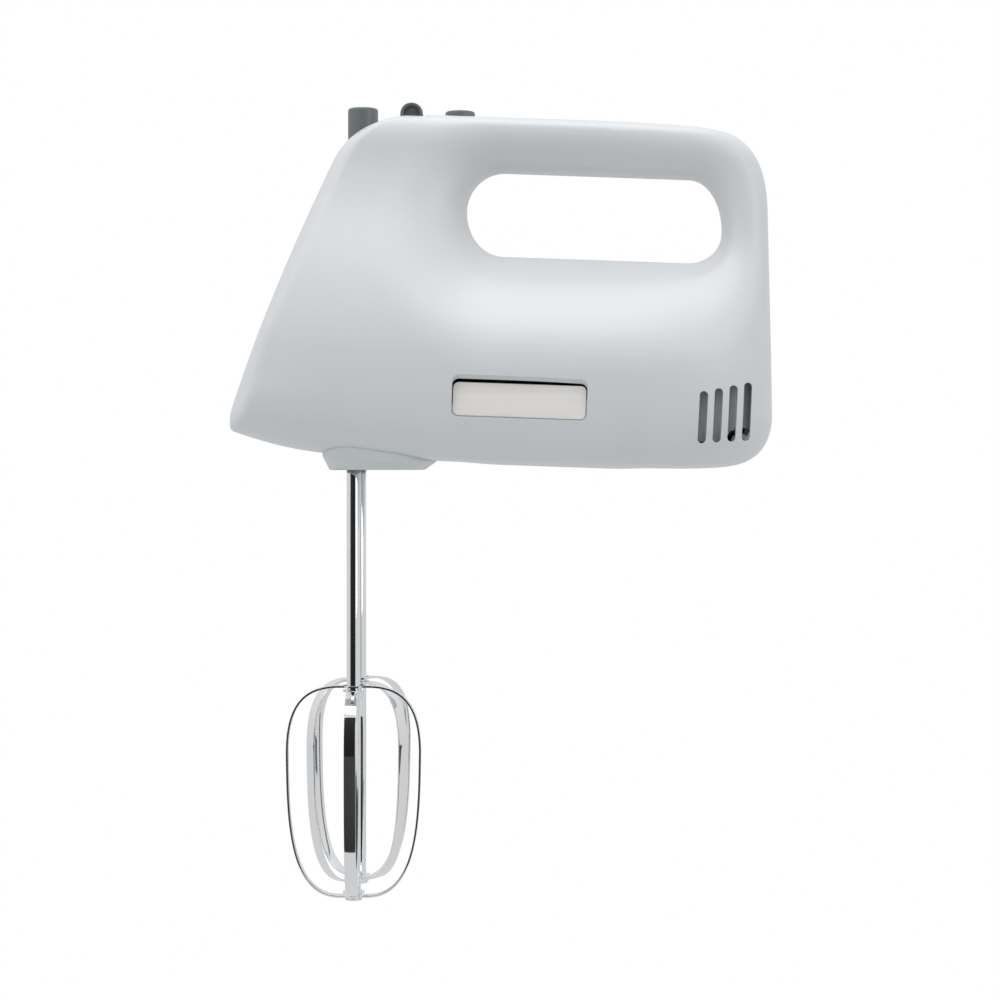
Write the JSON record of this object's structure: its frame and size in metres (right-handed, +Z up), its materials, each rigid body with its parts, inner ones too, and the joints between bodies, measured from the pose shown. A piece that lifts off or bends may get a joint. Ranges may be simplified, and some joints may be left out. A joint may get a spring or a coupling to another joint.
{
  "type": "hand mixer",
  "caption": "Corded electric hand mixer: leaning body with a closed handle, top controls, worm-geared motor and a pair of strip beaters on eject sockets.",
  "frame": {"origin": "on the flat underside of the socket collar, midway between the two beater shafts", "axes": "+X to the rear, +Y to the right-hand side of the mixer, +Z up along the beater shafts"},
  "size_m": [0.2, 0.0845, 0.2916],
  "materials": {
    "shell_plastic": "satin pale cool grey moulded plastic",
    "collar_plastic": "satin mid grey moulded plastic",
    "badge_metal": "brushed warm silver",
    "button_plastic": "fine-grained dark grey plastic",
    "inner_plastic": "black glass-filled plastic",
    "steel": "turned and zinc-plated steel",
    "cast_zinc": "as-cast zinc alloy",
    "lamination": "stacked electrical steel",
    "copper": "enamelled copper wire",
    "bronze": "sintered bronze",
    "carbon": "pressed carbon",
    "acetal": "natural acetal",
    "board": "dark lacquered circuit board",
    "capacitor_film": "yellow film capacitor case",
    "rubber": "black rubber",
    "fleece": "grey filter fleece",
    "chrome": "polished chromium plate"
  },
  "bodies": {
    "root": {"left_casing": "shell_plastic", "right_casing": "shell_plastic", "badge_plate": "badge_metal", "casing_screw_1": "steel", "casing_screw_2": "steel", "casing_screw_3": "steel", "casing_screw_4": "steel", "casing_screw_5": "steel", "casing_screw_6": "steel", "cord_gland": "rubber", "left_vent_screen": "fleece", "right_vent_screen": "fleece", "socket_collar": "collar_plastic", "gear_frame": "cast_zinc", "front_bearing": "bronze", "middle_bearing": "bronze", "stator_core": "lamination", "upper_field_coil": "copper", "lower_field_coil": "copper", "rear_bracket": "cast_zinc", "rear_bearing": "bronze", "near_brush_holder": "bronze", "near_carbon_brush": "carbon", "far_brush_holder": "bronze", "far_carbon_brush": "carbon", "control_deck": "inner_plastic", "speed_switch": "inner_plastic", "pulse_switch": "inner_plastic", "control_board": "board", "capacitor": "capacitor_film", "eject_spring": "steel", "pulse_spring": "steel"},
    "armature": {"armature_shaft": "steel", "armature_core": "lamination", "armature_windings": "copper", "commutator": "copper", "cooling_fan": "inner_plastic"},
    "near_spindle": {"near_spindle": "steel", "near_worm_wheel": "acetal", "near_retaining_clip": "steel"},
    "far_spindle": {"far_spindle": "steel", "far_worm_wheel": "acetal", "far_retaining_clip": "steel"},
    "near_ejector_pin": {"near_ejector_pin": "steel"},
    "far_ejector_pin": {"far_ejector_pin": "steel"},
    "near_beater": {"near_beater_shaft": "chrome", "near_outer_loop": "chrome", "near_inner_loop": "chrome"},
    "far_beater": {"far_beater_shaft": "chrome", "far_outer_loop": "chrome", "far_inner_loop": "chrome"},
    "eject_button": {"eject_button": "button_plastic", "ejector_yoke": "inner_plastic"},
    "speed_selector": {"speed_selector": "button_plastic", "selector_carriage": "acetal"},
    "pulse_button": {"pulse_button": "button_plastic"}
  },
  "joints": [
    {"name": "armature_spin", "type": "hinge", "parent": "root", "child": "armature", "pos_m": [0, 0, 0.038], "axis": [1, 0, 0], "continuous": true},
    {"name": "near_spindle_spin", "type": "hinge", "parent": "root", "child": "near_spindle", "pos_m": [0, -0.018, 0], "axis": [0, 0, 1], "continuous": true},
    {"name": "far_spindle_spin", "type": "hinge", "parent": "root", "child": "far_spindle", "pos_m": [0, 0.018, 0], "axis": [0, 0, 1], "continuous": true},
    {"name": "eject_press", "type": "slide", "parent": "root", "child": "eject_button", "axis": [0, 0, -1], "range_m": [0, 0.008], "stiffness_N_per_m": 600, "springref_m": -0.003, "deforming": ["eject_spring"]},
    {"name": "near_pin_press", "type": "slide", "parent": "near_spindle", "child": "near_ejector_pin", "axis": [0, 0, -1], "range_m": [0, 0.008]},
    {"name": "far_pin_press", "type": "slide", "parent": "far_spindle", "child": "far_ejector_pin", "axis": [0, 0, -1], "range_m": [0, 0.008]},
    {"name": "near_beater_pull", "type": "slide", "parent": "near_ejector_pin", "child": "near_beater", "axis": [0, 0, -1], "range_m": [0, 0.026]},
    {"name": "far_beater_pull", "type": "slide", "parent": "far_ejector_pin", "child": "far_beater", "axis": [0, 0, -1], "range_m": [0, 0.026]},
    {"name": "selector_slide", "type": "slide", "parent": "root", "child": "speed_selector", "axis": [0, 1, 0], "range_m": [0, 0.014]},
    {"name": "pulse_press", "type": "slide", "parent": "root", "child": "pulse_button", "axis": [0, 0, -1], "range_m": [0, 0.002], "stiffness_N_per_m": 1200, "springref_m": -0.001, "deforming": ["pulse_spring"]}
  ],
  "couplings": [
    {"joint": "near_spindle_spin", "follows": "armature_spin", "ratio": 0.071429},
    {"joint": "far_spindle_spin", "follows": "armature_spin", "ratio": -0.071429},
    {"joint": "near_pin_press", "follows": "eject_press", "ratio": 1},
    {"joint": "far_pin_press", "follows": "eject_press", "ratio": 1}
  ]
}
